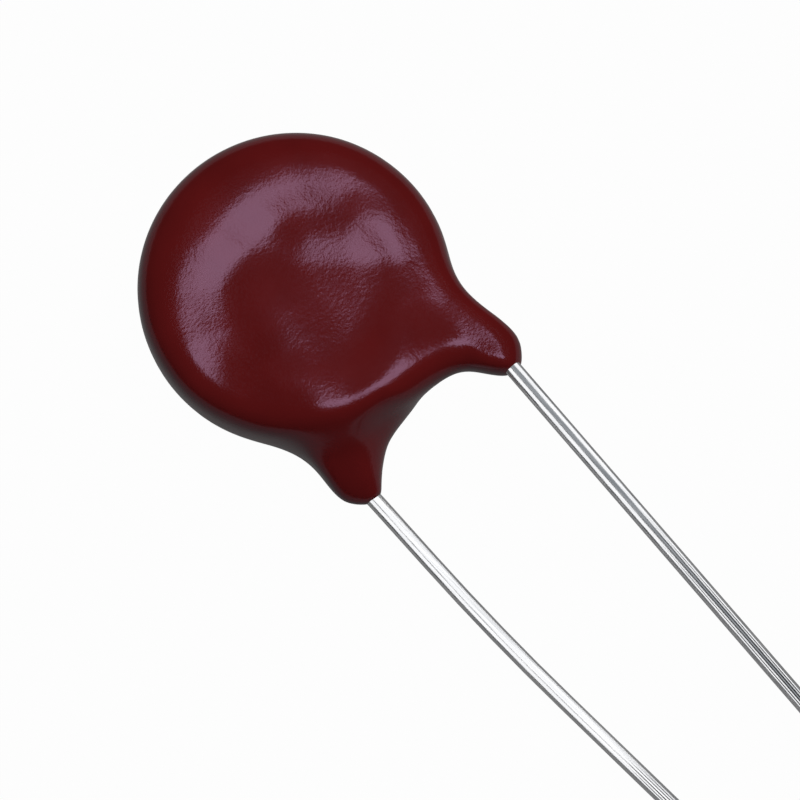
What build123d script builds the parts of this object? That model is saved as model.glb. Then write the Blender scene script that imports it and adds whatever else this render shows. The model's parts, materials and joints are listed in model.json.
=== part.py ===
"""Leaded disc varistor, dipped in epoxy: a zinc-oxide disc with a silver electrode on each face, a tinned
wire soldered across each electrode, and one skin of epoxy that runs a little way down both wires.

The part lies on its rear face. +Z is the disc's own axis and points out of the front face, the wires run
toward -Y, and the origin is on the ground under the middle of the part's length. Millimetres.
"""

import os
from math import copysign, cos, radians, sin, sqrt

from build123d import *

os.makedirs("parts", exist_ok=True)

# ---------------------------------------------------------------- driving dimensions

# zinc-oxide disc and its silver electrodes
ceramic_d = 13.5
ceramic_t = 1.8
ceramic_edge = 0.15  # chamfer on the pressed disc's rims
electrode_d = 12.0
electrode_t = 0.05

# tinned copper wires
wire_d = 0.8
wire_end_chamfer = 0.1
solder_film = 0.05  # solder left between a wire and its electrode
wire_inner_x = 0.3  # inner end of a wire, past the disc's middle
wire_inner_y = 1.4
front_wire_leg_x = 4.32  # how far a wire runs to the side of the middle where it passes through its leg
rear_wire_leg_x = 4.44
wire_bend_y = -6.1  # bend at the edge of the disc, where the wire turns in toward the middle
wire_bend_r = 1.6
wire_exit_y = -9.6
wire_tip_y = -33.5
front_tip_x = 2.0
rear_tip_x = 5.05
rear_set_y = -18.3  # the rear wire's second, very gentle bend
set_r = 12.0  # radius of the slight bends where the wires leave the legs
rear_set_r = 130.0

# solder beads
solder_w = 2.2
solder_h = 0.6
solder_taper = 32.0
solder_setback = 1.3  # from the edge of the electrode to the bead's outer end

# epoxy coating
edge_cover = 0.75  # over the rim of the ceramic
wire_cover = 0.45  # over a wire, on the face
shoulder = 1.9  # mean radial width of the rounded shoulder
shoulder_power = 3.0  # 2 rounds the shoulder to an ellipse, more makes it flatter on top and blunter at the rim
crest_shift = 0.6  # the crest lies off centre, toward the legs
dish_depth = 0.14  # the faces are drawn in where the epoxy shrank on curing
dish_setback = 0.25  # from the crest of the shoulder to the edge of the dish
dish_slope = 2.4  # radial width of the dish's sloping band
web_fill = 0.5  # extra epoxy across the disc's edge between the legs
leg_x = 4.33
leg_half_w = 1.08
leg_neck_y = -6.6
leg_crest_half_w = 0.4  # where the crest runs out along a leg
leg_crest_in = 0.2  # and how far it lies toward the middle of the part
leg_nose = 0.8  # how far a leg's tip rolls back from its middle level to its crest
leg_ramp = 0.6  # below its wire's middle, where a leg starts to draw back under it
front_leg_reach = 10.5
rear_leg_reach = 9.8

# ---------------------------------------------------------------- worked out from them

wire_r = wire_d / 2
face_z = ceramic_t / 2 + electrode_t  # outer face of an electrode, above the middle plane
wire_z = face_z + solder_film + wire_r
crest_z = wire_z + wire_r + wire_cover
coat_r = ceramic_d / 2 + edge_cover
crest_r = coat_r - shoulder
disc_y = -(coat_r + wire_tip_y) / 2

middle = Plane(origin=(0, disc_y, crest_z), x_dir=(1, 0, 0), z_dir=(0, 0, 1))
# Each side is worked in its own plane: local +X toward its wire's leg, local +Z out of its own face.
sides = {
    "front": middle,
    "rear": Plane(origin=middle.origin, x_dir=(-1, 0, 0), z_dir=(0, 0, -1)),
}

# ---------------------------------------------------------------- ceramic disc and electrodes

with BuildPart() as ceramic_disc:
    with BuildSketch(middle):
        Circle(ceramic_d / 2)
    extrude(amount=ceramic_t / 2, both=True)
    chamfer(ceramic_disc.edges().filter_by(GeomType.CIRCLE), ceramic_edge)
ceramic_disc.part.label = "ceramic_disc"

electrodes = {}
for name, side in sides.items():
    with BuildPart() as electrode:
        with BuildSketch(side.offset(ceramic_t / 2)):
            Circle(electrode_d / 2)
        extrude(amount=electrode_t)
    electrode.part.label = f"{name}_electrode"
    electrodes[name] = electrode.part

# ---------------------------------------------------------------- wires

# Corners of each wire's route in its side's plane, from the end on the electrode to the free tip, and the
# radius of the bend at each corner between.
inner_end = (wire_inner_x, wire_inner_y)
front_edge = (front_wire_leg_x, wire_bend_y)
rear_edge = (rear_wire_leg_x, wire_bend_y)
front_exit = (front_wire_leg_x, wire_exit_y)
rear_exit = (rear_wire_leg_x, wire_exit_y)
routes = {
    "front": ([inner_end, front_edge, front_exit, (front_tip_x, wire_tip_y)], [wire_bend_r, set_r]),
    "rear": (
        [inner_end, rear_edge, rear_exit, (rear_tip_x, rear_set_y), (rear_tip_x, wire_tip_y)],
        [wire_bend_r, set_r, rear_set_r],
    ),
}

leads = {}
for name, side in sides.items():
    corners, bends = routes[name]
    with BuildPart() as lead:
        with BuildLine(side.offset(wire_z)) as route:
            FilletPolyline(corners, radius=bends)
        with BuildSketch(Plane(origin=route.line @ 0, z_dir=route.line % 0)):
            Circle(wire_r)
        sweep()
        chamfer(lead.faces().sort_by(Axis.Y)[0].edges(), wire_end_chamfer)
    lead.part.label = f"{name}_lead"
    leads[name] = lead.part

# ---------------------------------------------------------------- solder beads

# A bead runs along the wire from its inner end to short of the electrode's edge, and wets both.
bead_start = Vector(*inner_end)
bead_reach = electrode_d / 2 - solder_setback

solders = {}
for name, side in sides.items():
    along = (Vector(*routes[name][0][1]) - bead_start).normalized()
    run_angle = Vector(1, 0).get_signed_angle(along)
    back = bead_start.dot(along)
    bead_length = sqrt(back**2 + bead_reach**2 - bead_start.length**2) - back
    bead_middle = bead_start + along * (bead_length / 2)
    with BuildPart() as solder:
        with BuildSketch(side.offset(face_z)):
            with Locations(bead_middle):
                SlotCenterToCenter(bead_length, solder_w, rotation=run_angle)
        extrude(amount=solder_h, taper=solder_taper)
        add(leads[name], mode=Mode.SUBTRACT)
    solder.part.label = f"{name}_solder"
    solders[name] = solder.part

# ---------------------------------------------------------------- epoxy coating

# The skin is one loft through outlines at rising levels. An outline is the disc's circle, drawn out over each
# wire into a leg. Angles are in degrees about the disc's axis.
ring_tilts = (-90, -84, -72, -54, -38, -20, -6, 6, 20, 38, 54, 72, 84, 90)  # from the rear crest round to the front
disc_angles = range(-30, 211, 20)  # the stretch of the outline away from the legs
neck_angle, arch_angle = -44, -78
# Round the tip of a leg: where the point lies on the disc when the leg is hidden, how far across the leg
# and how far back from its tip, both in half-widths. The rear leg's inner flank stands out more.
tip_round = ((-52, 1.12, 1.15), (-57, 0.77, 0.5), (-62, 0, 0), (-67, -0.72, 0.5))
front_leg = {"reach": front_leg_reach, "points": (*tip_round, (-72, -1.15, 1.15)), "arch": -1.7, "side": 1}
rear_leg = {"reach": rear_leg_reach, "points": (*tip_round, (-72, -1.57, 1.15)), "arch": -2.2, "side": -1}


def on_circle(radius, angle, middle_y):
    return Vector(radius * cos(radians(angle)), radius * sin(radians(angle)) + middle_y)


def leg_outline(leg, level, radius, middle_y, web_y):
    """Points round one leg from its outer neck to the web, at a level above the middle plane."""
    risen = min(1, max(0, (level - wire_z) / (crest_z - wire_z)))
    dome = sqrt(1 - risen**2)
    half_w = leg_crest_half_w + (leg_half_w - leg_crest_half_w) * dome
    centre_x = leg_x - leg_crest_in * (1 - dome)
    tip_y = -(leg["reach"] - leg_nose * (1 - dome))
    tip_l = (leg_half_w + half_w) / 2
    # Under its wire the leg draws back to the disc, and is gone at the far crest.
    ramp_top = wire_z - leg_ramp
    grown = min(1, (level + crest_z) / (ramp_top + crest_z)) ** 2

    full = [(neck_angle, Vector(centre_x + half_w, leg_neck_y))]
    for angle, across, back in leg["points"]:
        full.append((angle, Vector(centre_x + across * half_w, tip_y + back * tip_l)))
    inner_flank_y = full[-1][1].Y
    full.append((arch_angle, Vector(centre_x + leg["arch"] * half_w, (inner_flank_y + web_y) / 2)))

    points = []
    for angle, drawn_out in full:
        rest = on_circle(radius, angle, middle_y)
        point = rest + (drawn_out - rest) * grown
        points.append(Vector(leg["side"] * point.X, point.Y))
    return points


def outline(tilt):
    """Level of one outline above the middle plane, and its points."""
    rise = abs(sin(radians(tilt))) ** (2 / shoulder_power)
    outward = abs(cos(radians(tilt))) ** (2 / shoulder_power)
    level = crest_z * copysign(rise, tilt)
    radius = crest_r + shoulder * outward
    middle_y = -crest_shift * (1 - outward)
    web_y = middle_y - radius - web_fill * outward
    points = [on_circle(radius, angle, middle_y) for angle in disc_angles]
    points += leg_outline(rear_leg, -level, radius, middle_y, web_y)
    points.append(Vector(0, web_y))
    points += reversed(leg_outline(front_leg, level, radius, middle_y, web_y))
    return level, points


def distances_round(points):
    """How far along the closed outline each point is, as a share of its length, ending at 1."""
    steps = [(b - a).length for a, b in zip(points, points[1:] + points[:1])]
    return [sum(steps[:count]) / sum(steps) for count in range(len(steps) + 1)]


outlines = [outline(tilt) for tilt in ring_tilts]
# Every outline passes its points at the same stations, so that the loft runs straight from one to the next.
station_sets = [distances_round(points) for level, points in outlines]
stations = [sum(shares) / len(outlines) for shares in zip(*station_sets)]

with BuildPart() as coating:
    for level, points in outlines:
        with BuildSketch(middle.offset(level)):
            with BuildLine():
                add(Edge.make_spline(points, periodic=True, parameters=stations))
            make_face()
    loft()
    for side in sides.values():
        section = Plane(origin=side.from_local_coords((0, -crest_shift, 0)), x_dir=side.x_dir, z_dir=-side.y_dir)
        dish_r = crest_r - dish_setback
        rim, floor = Vector(dish_r, crest_z), Vector(dish_r - dish_slope, crest_z - dish_depth)
        with BuildSketch(section):
            with BuildLine():
                roll = TangentArc(rim, (rim + floor) / 2, tangent=(-1, 0))
                TangentArc(roll @ 1, floor, tangent=roll % 1)
                Polyline(floor, (0, floor.Y), (0, crest_z + dish_depth), (dish_r, crest_z + dish_depth), rim)
            make_face()
        revolve(axis=Axis(section.origin, middle.z_dir), mode=Mode.SUBTRACT)
    # The skin is poured round the finished innards, so its cavity is exactly what it holds.
    for held in [ceramic_disc.part, *electrodes.values(), *leads.values(), *solders.values()]:
        add(held, mode=Mode.SUBTRACT)
coating.part.label = "coating"

# ---------------------------------------------------------------- files

for piece in [coating.part, ceramic_disc.part, *electrodes.values(), *leads.values(), *solders.values()]:
    export_step(piece, f"parts/{piece.label}.step")
    print(piece.label, round(piece.volume, 2), "mm3")
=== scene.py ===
# %% [markdown]
# # A dipped disc varistor
# The part is a ceramic disc with two tinned wires, dipped in epoxy. What the eye sees is one glossy skin and
# two bright wires. The exact solids come from CAD; here each gets the surface that the real one has.

# %% Load the frame
import bpy
import json
from math import cos, radians, sin
from mathutils import Euler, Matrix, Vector
from mathutils.bvhtree import BVHTree
from mathutils.geometry import intersect_point_line

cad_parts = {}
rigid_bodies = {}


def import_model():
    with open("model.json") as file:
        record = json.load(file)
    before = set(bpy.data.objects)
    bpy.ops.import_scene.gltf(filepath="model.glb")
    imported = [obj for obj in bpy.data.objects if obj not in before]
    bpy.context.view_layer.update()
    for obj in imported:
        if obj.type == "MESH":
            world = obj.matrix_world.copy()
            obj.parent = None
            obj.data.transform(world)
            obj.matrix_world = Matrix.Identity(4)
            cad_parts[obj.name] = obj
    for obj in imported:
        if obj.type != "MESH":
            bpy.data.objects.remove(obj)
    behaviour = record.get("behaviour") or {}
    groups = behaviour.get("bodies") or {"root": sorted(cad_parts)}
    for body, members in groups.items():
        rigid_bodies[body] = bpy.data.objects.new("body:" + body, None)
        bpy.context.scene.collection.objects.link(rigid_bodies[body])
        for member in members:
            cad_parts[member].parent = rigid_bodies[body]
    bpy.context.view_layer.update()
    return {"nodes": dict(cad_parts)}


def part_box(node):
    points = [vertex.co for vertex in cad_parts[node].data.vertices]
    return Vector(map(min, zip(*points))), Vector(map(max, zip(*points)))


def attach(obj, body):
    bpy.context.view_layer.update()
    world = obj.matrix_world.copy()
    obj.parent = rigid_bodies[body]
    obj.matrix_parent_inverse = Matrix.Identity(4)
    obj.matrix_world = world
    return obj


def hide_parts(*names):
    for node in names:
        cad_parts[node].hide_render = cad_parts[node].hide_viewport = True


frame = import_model()
nodes = frame["nodes"]
mm = 0.001

# %% [markdown]
# ## Working on copies
# The solids are loose triangles, which shade as facets. A copy whose doubled corners are merged can be
# smoothed, cut and remeshed, while the solid itself stays as it is. The skin and the wires start as such
# copies, so each is exactly where its solid is.

# %% Helpers
doubled = 0.001 * mm  # corners closer than this are one corner


def only(piece):
    """Select one object and make it active, with nothing else selected."""
    bpy.ops.object.select_all(action="DESELECT")
    piece.select_set(True)
    bpy.context.view_layer.objects.active = piece


def merged_copy(node, name):
    """A copy of a solid, with its doubled corners merged."""
    only(nodes[node])
    bpy.ops.object.duplicate()
    piece = bpy.context.active_object
    bpy.ops.object.parent_clear(type="CLEAR_KEEP_TRANSFORM")
    piece.name = piece.data.name = name
    # The marks that say which solid this is belong to the solid alone.
    for key in list(piece.keys()):
        if key.startswith("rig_"):
            del piece[key]
    bpy.ops.object.mode_set(mode="EDIT")
    bpy.ops.mesh.select_all(action="SELECT")
    bpy.ops.mesh.remove_doubles(threshold=doubled)
    bpy.ops.object.mode_set(mode="OBJECT")
    print(name, len(piece.data.vertices), "corners after merging")
    return piece


def apply_modifier(piece, kind, **settings):
    """Add one modifier, set it and apply it."""
    only(piece)
    bpy.ops.object.modifier_add(type=kind)
    modifier = piece.modifiers[-1]
    for key, value in settings.items():
        setattr(modifier, key, value)
    bpy.ops.object.modifier_apply(modifier=modifier.name)


# %% [markdown]
# ## The epoxy skin
# A dipped skin has no edges anywhere: the liquid rounds every one off. It could be shaped from a sphere, but
# the solid already has the right outline, so only its surface is remade. Its outer wall is taken, its inner
# wall left out, and the two round openings for the wires closed. Then an even net of small quads is thrown
# over it, which a few passes of smoothing can draw as tight as the liquid was.

# %% Find the inner wall
# It lies on the pieces inside and faces the opposite way.
touching = 0.03 * mm
opposite = -0.8  # two directions multiplied give 1 where they agree and -1 where they are opposite

skin = merged_copy("coating", "epoxy_skin")
only(skin)
bpy.ops.object.mode_set(mode="EDIT")
bpy.ops.mesh.select_mode(type="FACE")
bpy.ops.mesh.select_all(action="DESELECT")
bpy.ops.object.mode_set(mode="OBJECT")
graph = bpy.context.evaluated_depsgraph_get()
inner_walls = [BVHTree.FromObject(nodes[name], graph) for name in nodes if name != "coating"]
for face in skin.data.polygons:
    for wall in inner_walls:
        _, normal, _, gap = wall.find_nearest(face.center)
        if gap < touching and normal.dot(face.normal) < opposite:
            face.select = True
            break
print("inner faces:", sum(face.select for face in skin.data.polygons), "of", len(skin.data.polygons))

# %% Delete it and close the wires' openings
bpy.ops.object.mode_set(mode="EDIT")
bpy.ops.mesh.delete(type="FACE")
bpy.ops.mesh.select_mode(type="EDGE")
bpy.ops.mesh.select_all(action="DESELECT")
bpy.ops.mesh.select_non_manifold()
bpy.ops.mesh.fill()
bpy.ops.object.mode_set(mode="OBJECT")
print("outer faces:", len(skin.data.polygons))

# %% Throw an even net over it
net_cell = 0.11 * mm
apply_modifier(skin, "REMESH", mode="VOXEL", voxel_size=net_cell, adaptivity=0)
print("net:", len(skin.data.vertices), "corners")

# %% [markdown]
# ## Where the epoxy ran
# A dipped skin is never quite even. On this part it set thickest at the end away from the wires, and thinner
# down both sides. Two low waves stayed in the hollow of the face, and the front leg falls away toward its tip.
# Proportional editing is made for this: a few corners along a line are moved up or down, and their neighbours
# follow less and less out to a reach. Heights are one or two tenths of a millimetre, too little to see from
# the side, but a gloss shows them at once.

# %% A stroke along the front face
front_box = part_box("ceramic_disc")
disc_middle = (front_box[0] + front_box[1]) / 2
brush = 0.12 * mm  # corners this close to the line are moved
facing_up = 0.3  # where the skin faces up at least this much


def distance_to_line(spot, corners):
    """How far a spot is from a line through some corners, seen from above."""
    distances = [(spot - corner).length for corner in corners]
    for start, end in zip(corners, corners[1:]):
        foot, share = intersect_point_line(spot, start, end)
        if 0 <= share <= 1:
            distances.append((spot - foot).length)
    return min(distances)


def stroke(corners, rise, reach):
    """Raise or sink the front face along a line. Millimetres, measured from the disc's middle."""
    line = [disc_middle.xy + Vector(corner) * mm for corner in corners]
    bpy.ops.object.mode_set(mode="EDIT")
    bpy.ops.mesh.select_all(action="DESELECT")
    bpy.ops.object.mode_set(mode="OBJECT")
    for vertex in skin.data.vertices:
        on_front = vertex.co.z > disc_middle.z and vertex.normal.z > facing_up
        vertex.select = on_front and distance_to_line(vertex.co.xy, line) < brush
    picked = sum(vertex.select for vertex in skin.data.vertices)
    bpy.ops.object.mode_set(mode="EDIT")
    bpy.ops.transform.translate(
        value=(0, 0, rise * mm),
        use_proportional_edit=True,
        use_proportional_connected=True,
        proportional_edit_falloff="SMOOTH",
        proportional_size=reach * mm,
    )
    bpy.ops.object.mode_set(mode="OBJECT")
    print("stroke of", rise, "mm moved", picked, "corners and their neighbours")


# %% The strokes
only(skin)
bpy.ops.object.mode_set(mode="EDIT")
bpy.ops.mesh.select_mode(type="VERT")
bpy.ops.object.mode_set(mode="OBJECT")
far_end = [(-3.0, 3.5), (-1.0, 4.9), (1.5, 5.2), (4.0, 4.8), (5.6, 3.6)]
stroke(far_end, rise=0.12, reach=3.6)  # thick far end
stroke([(-3.6, 2.5), (-4.6, 0.5)], rise=-0.15, reach=3.2)  # the left side falls away ...
stroke([(-6.0, -1.9), (-6.0, -3.0)], rise=-0.19, reach=3.4)  # ... and is thinnest here
stroke([(5.5, -2.9), (4.8, -4.7)], rise=-0.2, reach=3.5)  # the right side falls toward the front leg
stroke([(-2.3, -0.4), (-2.7, -2.8)], rise=0.17, reach=3.4)  # a wave in the hollow
stroke([(2.2, 1.2), (4.8, -1.4)], rise=0.08, reach=1.9)  # and a smaller one
stroke([(-3.8, -6.3), (-2.4, -7.1)], rise=0.1, reach=2.6)  # a little thicker again between the legs
stroke([(-0.4, -6.6), (2.0, -6.6)], rise=0.08, reach=2.2)
stroke([(4.4, -10.2)], rise=-0.18, reach=6.5)  # the front leg falls away toward its tip ...
stroke([(2.9, -6.5), (3.4, -7.7)], rise=-0.08, reach=2.2)  # ... and on its inner side

# %% Draw the skin tight
smoothing_passes = 14
apply_modifier(skin, "SMOOTH", factor=0.5, iterations=smoothing_passes)
bpy.ops.object.shade_smooth()
print("skin:", len(skin.data.polygons), "faces")

# %% [markdown]
# ## The wires
# Drawn wire is as round as a wire can be. A curve with a round bevel would give that, but a copy of the solid
# has its bends in the right places already, and only needs its facets smoothed away. Smoothing by angle
# leaves the flat end and its small bevel their edges.

# %% Smooth the wires
sharpest_bend = radians(30)  # what turns more than this stays an edge
wires = {}
for side in ("front", "rear"):
    wires[side] = merged_copy(f"{side}_lead", f"{side}_wire")
    only(wires[side])
    bpy.ops.object.shade_smooth_by_angle(angle=sharpest_bend)

# %% [markdown]
# ## Materials
# Each finish is built from nodes that read the object's own coordinates, so nothing slides when the view
# changes. One helper starts a material and hands back its nodes. The others each add one step: a noise, a
# noise spread over a range of values, a noise turned into colours, and a noise used as a small relief.

# %% Material helpers
def new_material(name):
    """A fresh material with its shader, and the object's coordinates."""
    material = bpy.data.materials.new(name)
    material.use_nodes = True
    tree = material.node_tree
    shader = tree.nodes["Principled BSDF"]
    place = tree.nodes.new("ShaderNodeTexCoord").outputs["Object"]
    return material, tree, shader, place


def noise(tree, place, cell, detail):
    """Noise whose blotches are about one cell across, in metres."""
    node = tree.nodes.new("ShaderNodeTexNoise")
    node.inputs["Scale"].default_value = 1 / cell
    node.inputs["Detail"].default_value = detail
    tree.links.new(place, node.inputs["Vector"])
    return node.outputs["Fac"]


def ramp(tree, value, low, high, start=0.3, end=0.7):
    """Spread a value over a range. Noise lies mostly between 0.3 and 0.7."""
    node = tree.nodes.new("ShaderNodeMapRange")
    node.inputs["From Min"].default_value = start
    node.inputs["From Max"].default_value = end
    node.inputs["To Min"].default_value = low
    node.inputs["To Max"].default_value = high
    tree.links.new(value, node.inputs["Value"])
    return node.outputs["Result"]


def blend(tree, value, colour_a, colour_b, start=0.3, end=0.7):
    """A colour between two, chosen by a noise."""
    node = tree.nodes.new("ShaderNodeValToRGB")
    for stop, position, colour in zip(node.color_ramp.elements, (start, end), (colour_a, colour_b)):
        stop.position = position
        stop.color = (*colour, 1)
    tree.links.new(value, node.inputs["Fac"])
    return node.outputs["Color"]


def bump(tree, height, depth, before=None):
    """Small relief of a depth in metres, on top of another if one is given."""
    node = tree.nodes.new("ShaderNodeBump")
    node.inputs["Strength"].default_value = 1.0
    node.inputs["Distance"].default_value = depth
    tree.links.new(height, node.inputs["Height"])
    if before:
        tree.links.new(before, node.inputs["Normal"])
    return node.outputs["Normal"]


# %% [markdown]
# ### The maroon epoxy
# The skin is pigmented epoxy: an opaque colour with a hard, clear gloss. One Principled shader with a low
# roughness gives both. Dipping leaves an orange peel, only thousandths of a millimetre deep and far finer than
# the net, so it is made as bump: one noise for the peel, and a smaller one for the grain on it. A faint drift
# of colour and gloss keeps the skin from looking like moulded plastic.

# %% Glossy maroon epoxy
def maroon_epoxy():
    material, tree, shader, place = new_material("maroon_epoxy")
    peel = noise(tree, place, 0.2 * mm, detail=2.0)
    grain = noise(tree, place, 0.1 * mm, detail=1.0)
    clouds = noise(tree, place, 2.5 * mm, detail=2.0)
    colour = blend(tree, clouds, (0.1, 0.006, 0.006), (0.115, 0.007, 0.007))
    peeled = bump(tree, peel, 0.005 * mm)
    tree.links.new(bump(tree, grain, 0.0012 * mm, before=peeled), shader.inputs["Normal"])
    tree.links.new(colour, shader.inputs["Base Color"])
    tree.links.new(ramp(tree, clouds, 0.13, 0.15), shader.inputs["Roughness"])
    shader.inputs["Specular Tint"].default_value = (1.0, 0.8, 1.0, 1)
    return material


# %% [markdown]
# ### The tinned wire
# Wire is drawn through a die and then tinned, so it is bright, with fine marks along its length. A noise that
# runs much slower along the wire than across it turns its blotches into such marks. The front wire leans in
# a little toward the rear one, so its marks are turned by as much.

# %% Bright tinned wire
along_the_wire = 0.012  # how fast the noise runs along the wire, where across it is 1
front_lean = 0.0968  # radians


def tinned_wire(name, lean):
    material, tree, shader, place = new_material(name)
    mapping = tree.nodes.new("ShaderNodeMapping")
    mapping.inputs["Rotation"].default_value = (0, 0, lean)
    mapping.inputs["Scale"].default_value = (1, along_the_wire, 1)
    tree.links.new(place, mapping.inputs["Vector"])
    streaks = noise(tree, mapping.outputs["Vector"], 0.09 * mm, detail=3.0)
    fine = noise(tree, place, 0.15 * mm, detail=2.0)
    colour = blend(tree, streaks, (0.62, 0.63, 0.65), (0.86, 0.86, 0.87))
    drawn = bump(tree, streaks, 0.002 * mm)
    tree.links.new(bump(tree, fine, 0.0008 * mm, before=drawn), shader.inputs["Normal"])
    tree.links.new(colour, shader.inputs["Base Color"])
    tree.links.new(ramp(tree, streaks, 0.16, 0.26), shader.inputs["Roughness"])
    shader.inputs["Metallic"].default_value = 1.0
    return material


# %% [markdown]
# ### What lies inside
# These pieces show only when the part is cut open. Each still has its own finish: a dull dark ceramic, matte
# silver that was fired on as a paste, and solder that set with a little dross. The two metals are built alike,
# so one function makes both.

# %% Inner materials
def sintered_oxide():
    material, tree, shader, place = new_material("sintered_oxide")
    grain = noise(tree, place, 0.06 * mm, detail=4.0)
    colour = blend(tree, grain, (0.035, 0.038, 0.04), (0.075, 0.08, 0.085))
    tree.links.new(colour, shader.inputs["Base Color"])
    tree.links.new(bump(tree, grain, 0.006 * mm), shader.inputs["Normal"])
    shader.inputs["Roughness"].default_value = 0.75
    return material


def inner_metal(name, cell, depth, dark, light, satin, matte):
    """A metal whose colour, gloss and relief all follow one noise."""
    material, tree, shader, place = new_material(name)
    grain = noise(tree, place, cell, detail=4.0)
    tree.links.new(blend(tree, grain, dark, light), shader.inputs["Base Color"])
    tree.links.new(ramp(tree, grain, satin, matte), shader.inputs["Roughness"])
    tree.links.new(bump(tree, grain, depth), shader.inputs["Normal"])
    shader.inputs["Metallic"].default_value = 1.0
    return material


# %% Put the finishes on
def dress(piece, material):
    piece.data.materials.clear()
    piece.data.materials.append(material)
    print(piece.name, "wears", material.name)


dress(skin, maroon_epoxy())
dress(wires["front"], tinned_wire("tinned_wire_leaning", -front_lean))
dress(wires["rear"], tinned_wire("tinned_wire_straight", 0))
dress(nodes["ceramic_disc"], sintered_oxide())
silver = inner_metal(
    "fired_silver", cell=0.04 * mm, depth=0.004 * mm,
    dark=(0.74, 0.73, 0.7), light=(0.9, 0.89, 0.86), satin=0.42, matte=0.6)
solder = inner_metal(
    "satin_solder", cell=0.3 * mm, depth=0.02 * mm,
    dark=(0.5, 0.51, 0.53), light=(0.7, 0.7, 0.71), satin=0.25, matte=0.45)
for side in ("front", "rear"):
    dress(nodes[f"{side}_electrode"], silver)
    dress(nodes[f"{side}_solder"], solder)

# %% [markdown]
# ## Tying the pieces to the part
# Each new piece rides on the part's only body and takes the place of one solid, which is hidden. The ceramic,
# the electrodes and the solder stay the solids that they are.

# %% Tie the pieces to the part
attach(skin, "root")
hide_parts("coating")
for side, wire in wires.items():
    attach(wire, "root")
    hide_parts(f"{side}_lead")

# %% [markdown]
# ## The table
# The part lies on a table that shows as plain white. More light would do that too, but it would bleach the
# part. Instead the Light Path node tells which kind of ray is asking: the camera sees nearly full white, a
# gloss mirrors only an eighth of it, and all other light meets a dull grey, on which the part throws its
# shadow.

# %% The table
seen_white = 0.98
mirrored_white = 0.12
just_below = -0.02 * mm  # clear of the part's underside

bpy.ops.object.select_all(action="DESELECT")
bpy.ops.mesh.primitive_plane_add(size=3, location=(0, 0, just_below))
table = bpy.context.active_object
table.name = "table"


def work_out(tree, operation, *values):
    """One Math node. Each value is a number or another node's output."""
    node = tree.nodes.new("ShaderNodeMath")
    node.operation = operation
    for socket, value in zip(node.inputs, values):
        if isinstance(value, float):
            socket.default_value = value
        else:
            tree.links.new(value, socket)
    return node.outputs["Value"]


def white_table():
    material, tree, shader, place = new_material("white_table")
    shader.inputs["Base Color"].default_value = (0.2, 0.2, 0.2, 1)
    shader.inputs["Roughness"].default_value = 0.9
    white = tree.nodes.new("ShaderNodeEmission")
    white.inputs["Color"].default_value = (1, 1, 1, 1)
    white.inputs["Strength"].default_value = 1.0
    ray = tree.nodes.new("ShaderNodeLightPath").outputs
    mirrored = work_out(tree, "MAXIMUM", ray["Is Glossy Ray"], ray["Is Transmission Ray"])
    dimmed = work_out(tree, "MULTIPLY", mirrored, mirrored_white)
    share = work_out(tree, "MULTIPLY_ADD", ray["Is Camera Ray"], seen_white, dimmed)
    mix = tree.nodes.new("ShaderNodeMixShader")
    tree.links.new(share, mix.inputs["Fac"])
    tree.links.new(shader.outputs["BSDF"], mix.inputs[1])
    tree.links.new(white.outputs["Emission"], mix.inputs[2])
    tree.links.new(mix.outputs["Shader"], tree.nodes["Material Output"].inputs["Surface"])
    return material


dress(table, white_table())

# %% [markdown]
# ## The camera
# A long lens from a little way off keeps the disc round and the wires almost parallel. The camera looks down
# with a small tilt, so that the skin's near edge just shows. Its place is worked out from where the view
# runs along the table, which is the direction called away.

# %% Camera
view_azimuth = radians(44.45)
camera_tilt = radians(12)
camera_distance = 200 * mm
look_at = Vector((-0.354, 5.651, 2.25)) * mm
focal_length = 189.9
sensor_width = 36

away = Vector((cos(view_azimuth), sin(view_azimuth), 0))
up = Vector((0, 0, 1))
to_camera = up * cos(camera_tilt) - away * sin(camera_tilt)

bpy.ops.object.camera_add(location=look_at + to_camera * camera_distance)
camera = bpy.context.active_object
camera.rotation_euler = (-to_camera).to_track_quat("-Z", "Y").to_euler()
camera.data.lens = focal_length
camera.data.sensor_width = sensor_width
camera.data.clip_start = 0.001
camera.data.clip_end = 10
bpy.context.scene.camera = camera
print("camera, mm:", [round(c / mm, 1) for c in camera.location])

# %% [markdown]
# ## The lamps
# A gloss shows what stands round it, so the room matters as much as the part. One compact soft box hangs
# almost overhead and lights the skin alone: it draws the bright band round the crest, and leaves the hollow in
# the middle dark. A wide lamp that the gloss doesn't mirror gives the plain light by which the colour is seen.
# Light linking lets a lamp light a few pieces only: the lamp is given a collection that holds them.

# %% Lamps for the skin
def lamp(name, lean, distance, size, power, colour=(1, 1, 1)):
    """A soft box over the disc, leaning toward +X and -Y by two angles in degrees, its sides along them."""
    turn = Euler((radians(lean[1]), radians(lean[0]), 0))
    spot = disc_middle + turn.to_matrix() @ Vector((0, 0, distance))
    bpy.ops.object.light_add(type="AREA", location=spot, rotation=turn)
    box = bpy.context.active_object
    box.name = name
    box.data.shape = "RECTANGLE"
    box.data.size, box.data.size_y = size
    box.data.energy = power
    box.data.color = colour
    print(name, "gives", power, "W")
    return box


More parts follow.
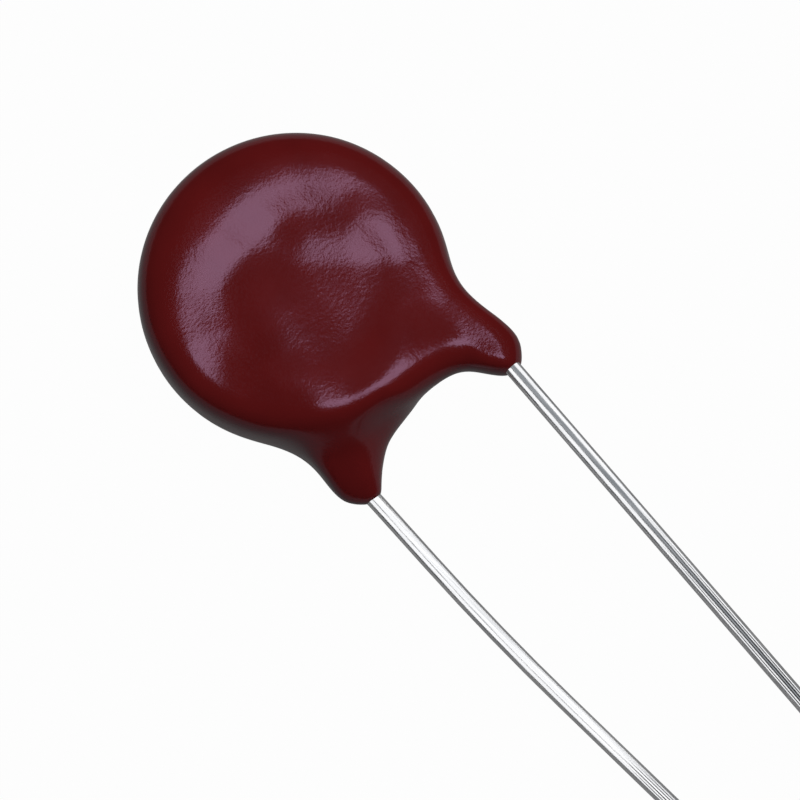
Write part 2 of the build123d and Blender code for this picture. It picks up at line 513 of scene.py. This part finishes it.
def shine_on(boxes, name, pieces):
    """Let some lamps light a few pieces and nothing else."""
    group = bpy.data.collections.new(name)
    for piece in pieces:
        group.objects.link(piece)
    for box in boxes:
        box.light_linking.receiver_collection = group


softbox = lamp("softbox", (7.8, 2.2), distance=0.8, size=(0.17, 0.26), power=0.49, colour=(0.93, 0.78, 1.0))
shine_on([softbox], "skin", [skin])
wide = lamp("wide", (18, 0), distance=0.5, size=(0.4, 0.4), power=2.2)
wide.visible_glossy = False

# %% [markdown]
# Bare metal is only as bright as what it mirrors, so the wires have panels of their own: two at the sides, and
# two overhead in the same place, a bright one that lights only the rear wire and a dim, slightly blue one that
# lights only the front wire.

# %% Panels for the wires
left_panel = lamp("left_panel", (-50, 5), distance=0.4, size=(0.37, 0.5), power=0.75)
right_panel = lamp("right_panel", (62, 5), distance=0.4, size=(0.4, 0.5), power=0.8)
shine_on([left_panel, right_panel], "wires", wires.values())
front_sky = lamp("front_sky", (8, 5), distance=0.4, size=(0.4, 0.5), power=0.22, colour=(0.9, 0.95, 1.0))
shine_on([front_sky], "front_wire", [wires["front"]])
rear_sky = lamp("rear_sky", (8, 5), distance=0.4, size=(0.4, 0.5), power=0.85)
shine_on([rear_sky], "rear_wire", [wires["rear"]])

# %% [markdown]
# ## The room
# What else the gloss mirrors is the room: a little paler near the table's edge and dark overhead, as a small
# studio is. Here too the camera itself sees plain white.

# %% The room
low_down, overhead = 0.06, 0.03  # how bright the room is
dark_from = 0.2  # from this height on it is dark, where 1 is straight overhead


def studio_world():
    world = bpy.data.worlds.new("studio")
    world.use_nodes = True
    tree = world.node_tree
    background = tree.nodes["Background"]
    direction = tree.nodes.new("ShaderNodeTexCoord").outputs["Generated"]
    split = tree.nodes.new("ShaderNodeSeparateXYZ")
    tree.links.new(direction, split.inputs["Vector"])
    level = ramp(tree, split.outputs["Z"], low_down, overhead, start=0.0, end=dark_from)
    ray = tree.nodes.new("ShaderNodeLightPath").outputs
    seen = work_out(tree, "MAXIMUM", level, ray["Is Camera Ray"])
    tree.links.new(seen, background.inputs["Strength"])
    background.inputs["Color"].default_value = (1, 1, 1, 1)
    return world


bpy.context.scene.world = studio_world()
bpy.context.scene.view_settings.view_transform = "Standard"
